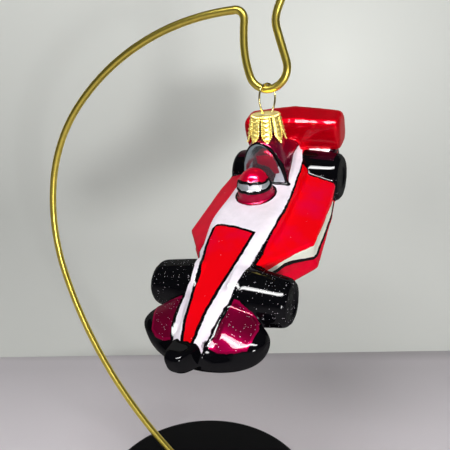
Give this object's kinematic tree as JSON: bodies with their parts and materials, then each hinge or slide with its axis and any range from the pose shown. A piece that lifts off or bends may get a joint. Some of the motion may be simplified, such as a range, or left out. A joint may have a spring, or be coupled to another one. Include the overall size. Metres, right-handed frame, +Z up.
{
  "type": "glass racing car ornament on a wire stand",
  "caption": "Blown glass open wheel racing car ornament that hangs nose down by a crown cap and wire loop from the hook of a bent wire stand with a round base.",
  "frame": {"origin": "centre of the round base's underside, on the surface that the stand rests on", "axes": "+Z up; the stand's wire lies in the XZ plane with its arch towards -X and its hook towards +X; the car's nose points towards -Y"},
  "size_m": [0.1398, 0.1271, 0.2415],
  "materials": {
    "black_wood": "black satin lacquer",
    "felt": "black felt",
    "gold_wire": "satin gold plating",
    "spring_wire": "bright gold wire",
    "gold_cap": "bright stamped gold",
    "lacquered_glass": "silvered glass with gloss lacquer in red, white and black"
  },
  "bodies": {
    "root": {"stand_base": "black_wood", "felt_disc": "felt", "stand_wire": "gold_wire", "hanger": "spring_wire", "crown_cap": "gold_cap", "glass_car": "lacquered_glass"}
  },
  "joints": []
}
